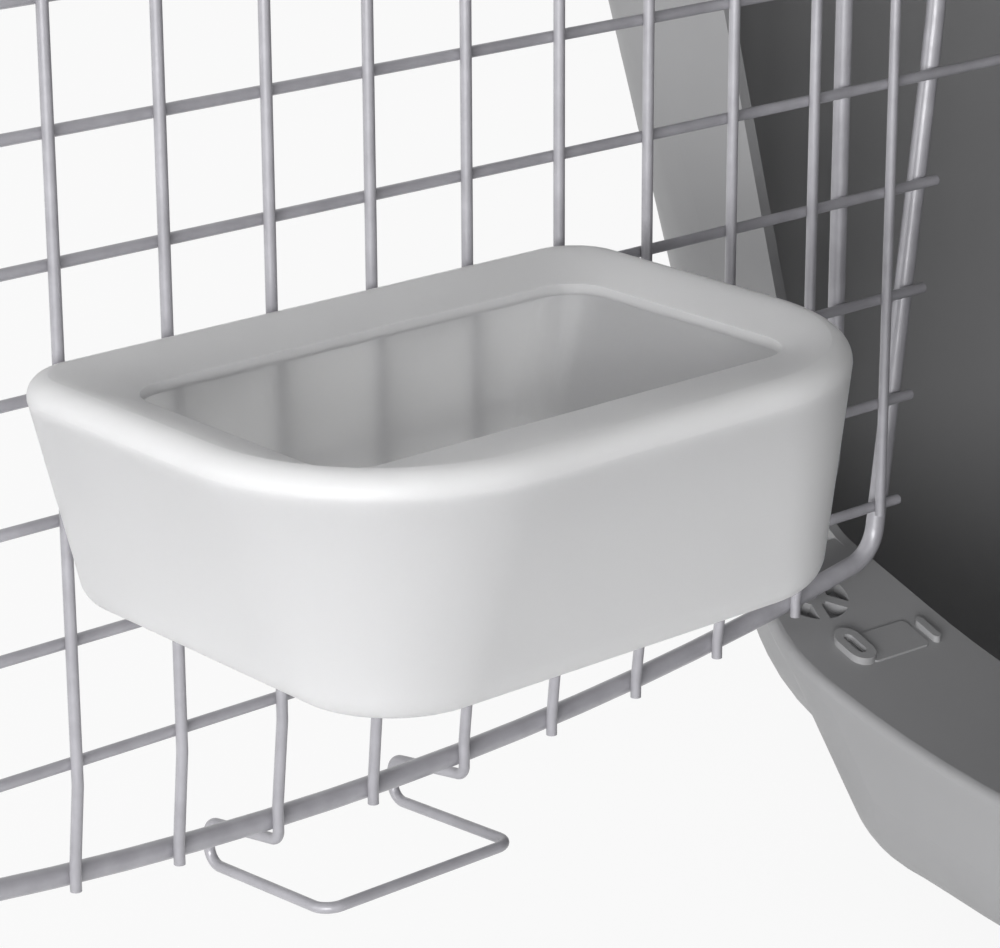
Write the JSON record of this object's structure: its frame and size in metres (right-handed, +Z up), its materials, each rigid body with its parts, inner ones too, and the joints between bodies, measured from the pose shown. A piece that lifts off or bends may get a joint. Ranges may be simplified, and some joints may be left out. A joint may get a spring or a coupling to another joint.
{
  "type": "pet carrier",
  "caption": "Two-part plastic pet carrier with a wire mesh door on the front, an open-topped food bowl hung on the door, side clips and a folding carrying handle.",
  "frame": {"origin": "on the ground, under the middle of the two shell halves", "axes": "+X to the right seen from the front, +Y from the front to the back, +Z up"},
  "size_m": [0.53, 1.0004, 0.505],
  "materials": {
    "shell": "moulded mid grey plastic with a fine satin grain",
    "wire": "steel wire with a satin grey coating, slightly violet",
    "bowl": "milky translucent moulded plastic, soft satin",
    "dark_plastic": "moulded dark grey plastic, satin",
    "hardware": "plain zinc-plated steel"
  },
  "bodies": {
    "carrier": {"lower_shell": "shell", "upper_shell": "shell", "shell_bolts": "hardware", "wing_nuts": "dark_plastic", "clip_pins": "hardware", "handle_pins": "hardware"},
    "door": {"door_frame": "wire", "door_uprights": "wire", "door_crosswires": "wire", "hinge_rod": "wire", "keeper_loop": "wire", "latch_guides": "wire"},
    "upper_latch": {"upper_latch_rod": "wire", "upper_latch_grip": "dark_plastic"},
    "lower_latch": {"lower_latch_rod": "wire", "lower_latch_grip": "dark_plastic"},
    "bowl": {"bowl": "bowl"},
    "handle": {"carry_handle": "dark_plastic"},
    "left_front_clip": {"left_front_clip": "dark_plastic"},
    "left_rear_clip": {"left_rear_clip": "dark_plastic"},
    "right_front_clip": {"right_front_clip": "dark_plastic"},
    "right_rear_clip": {"right_rear_clip": "dark_plastic"}
  },
  "joints": [
    {"name": "door_hinge", "type": "hinge", "parent": "carrier", "child": "door", "pos_m": [-0.139, -0.336, 0.2471], "axis": [0, 0, 1], "range_deg": [-22, 87.5]},
    {"name": "upper_latch_slide", "type": "slide", "parent": "door", "child": "upper_latch", "axis": [0, 0, 1], "range_m": [0, 0.009]},
    {"name": "lower_latch_slide", "type": "slide", "parent": "door", "child": "lower_latch", "axis": [0, 0, -1], "range_m": [0, 0.009]},
    {"name": "bowl_lift", "type": "slide", "parent": "door", "child": "bowl", "axis": [0, 0, 1], "range_m": [0, 0.016]},
    {"name": "handle_pivot", "type": "hinge", "parent": "carrier", "child": "handle", "pos_m": [0, 0, 0.495], "axis": [0, -1, 0], "range_deg": [0, 180]},
    {"name": "left_front_clip_pivot", "type": "hinge", "parent": "carrier", "child": "left_front_clip", "pos_m": [-0.255, -0.185, 0.2301], "axis": [0, -1, 0], "range_deg": [0, 110]},
    {"name": "left_rear_clip_pivot", "type": "hinge", "parent": "carrier", "child": "left_rear_clip", "pos_m": [-0.255, 0.185, 0.2301], "axis": [0, -1, 0], "range_deg": [0, 110]},
    {"name": "right_front_clip_pivot", "type": "hinge", "parent": "carrier", "child": "right_front_clip", "pos_m": [0.255, -0.185, 0.2301], "axis": [0, 1, 0], "range_deg": [0, 110]},
    {"name": "right_rear_clip_pivot", "type": "hinge", "parent": "carrier", "child": "right_rear_clip", "pos_m": [0.255, 0.185, 0.2301], "axis": [0, 1, 0], "range_deg": [0, 110]}
  ]
}
